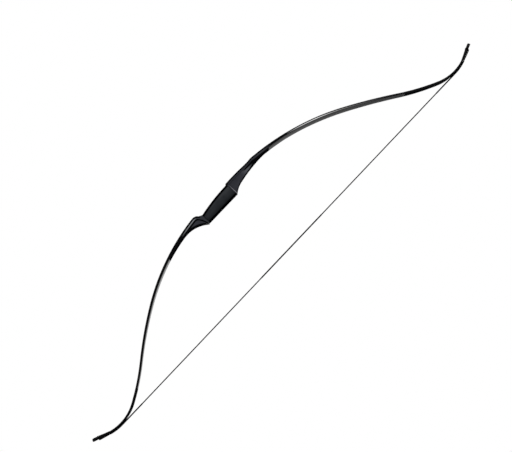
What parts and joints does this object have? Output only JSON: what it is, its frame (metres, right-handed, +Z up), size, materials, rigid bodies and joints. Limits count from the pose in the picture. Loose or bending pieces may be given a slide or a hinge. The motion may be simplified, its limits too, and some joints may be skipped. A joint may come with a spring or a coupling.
{
  "type": "recurve bow",
  "caption": "One-piece black recurve bow, strung: laminated limbs that bend, a shaped riser with an arrow shelf and sight window, a rubber grip, and a served string in recurved tips.",
  "frame": {"origin": "throat of the grip: the middle of its rear face, where the hand's web pushes", "axes": "+Z up along the string to the upper tip, -X towards the target, +X towards the archer, -Y to the archer's left, the side of the sight window"},
  "size_m": [0.241, 0.042, 1.436],
  "materials": {
    "riser": "satin black moulding",
    "grip": "matte black grip rubber",
    "glass_fibre": "glossy black glass fibre laminate",
    "limb_core": "hardwood core, sealed black edges",
    "overlay": "hard black tip overlay",
    "serving": "wound black serving thread",
    "string": "waxed twisted polyester strands"
  },
  "bodies": {
    "riser": {"riser_block": "riser", "upper_back_strip": "glass_fibre", "lower_back_strip": "glass_fibre", "upper_ramp_glass": "glass_fibre", "lower_ramp_glass": "glass_fibre", "grip_sleeve": "grip"},
    "upper_limb": {"upper_back_glass": "glass_fibre", "upper_core": "limb_core", "upper_belly_glass": "glass_fibre", "upper_tip_overlay": "overlay", "upper_string_loop": "serving"},
    "lower_limb": {"lower_back_glass": "glass_fibre", "lower_core": "limb_core", "lower_belly_glass": "glass_fibre", "lower_tip_overlay": "overlay", "lower_string_loop": "serving"},
    "upper_tail": {"upper_tail_strands": "string", "upper_end_serving": "serving"},
    "lower_tail": {"lower_tail_strands": "string", "lower_end_serving": "serving"},
    "upper_run": {"upper_run_strands": "string", "upper_run_serving": "serving", "upper_centre_serving": "serving"},
    "lower_run": {"lower_run_strands": "string", "lower_run_serving": "serving", "lower_centre_serving": "serving"}
  },
  "joints": [
    {"name": "upper_limb_flex", "type": "hinge", "parent": "riser", "child": "upper_limb", "pos_m": [-0.0275, 0, 0.17471], "axis": [0, 1, 0], "range_deg": [0, 17.03], "stiffness_Nm_per_rad": 240, "springref_deg": -2.29},
    {"name": "lower_limb_flex", "type": "hinge", "parent": "riser", "child": "lower_limb", "pos_m": [-0.02664, 0, -0.14458], "axis": [0, -1, 0], "range_deg": [0, 17.52], "stiffness_Nm_per_rad": 240, "springref_deg": -2.29},
    {"name": "upper_tail_lift", "type": "hinge", "parent": "upper_limb", "child": "upper_tail", "pos_m": [0.19191, 0, 0.70535], "axis": [0, -1, 0], "range_deg": [0, 38.4], "deforming": ["upper_tail_strands", "upper_end_serving"]},
    {"name": "upper_run_swing", "type": "hinge", "parent": "upper_tail", "child": "upper_run", "pos_m": [0.19752, 0, 0.66801], "axis": [0, -1, 0], "range_deg": [0, 8.62], "deforming": ["upper_run_strands", "upper_run_serving", "upper_centre_serving"]},
    {"name": "lower_tail_lift", "type": "hinge", "parent": "lower_limb", "child": "lower_tail", "pos_m": [0.19088, 0, -0.63999], "axis": [0, 1, 0], "range_deg": [0, 38.36], "deforming": ["lower_tail_strands", "lower_end_serving"]},
    {"name": "lower_run_swing", "type": "hinge", "parent": "lower_tail", "child": "lower_run", "pos_m": [0.19655, 0, -0.60266], "axis": [0, 1, 0], "range_deg": [0, 8.62], "deforming": ["lower_run_strands", "lower_run_serving", "lower_centre_serving"]}
  ],
  "couplings": [
    {"joint": "lower_limb_flex", "follows": "upper_limb_flex", "ratio": 1.0274},
    {"joint": "upper_tail_lift", "follows": "upper_limb_flex", "ratio": 2.2536},
    {"joint": "upper_run_swing", "follows": "upper_limb_flex", "ratio": 0.5048},
    {"joint": "lower_tail_lift", "follows": "upper_limb_flex", "ratio": 2.2513},
    {"joint": "lower_run_swing", "follows": "upper_limb_flex", "ratio": 0.5048}
  ]
}
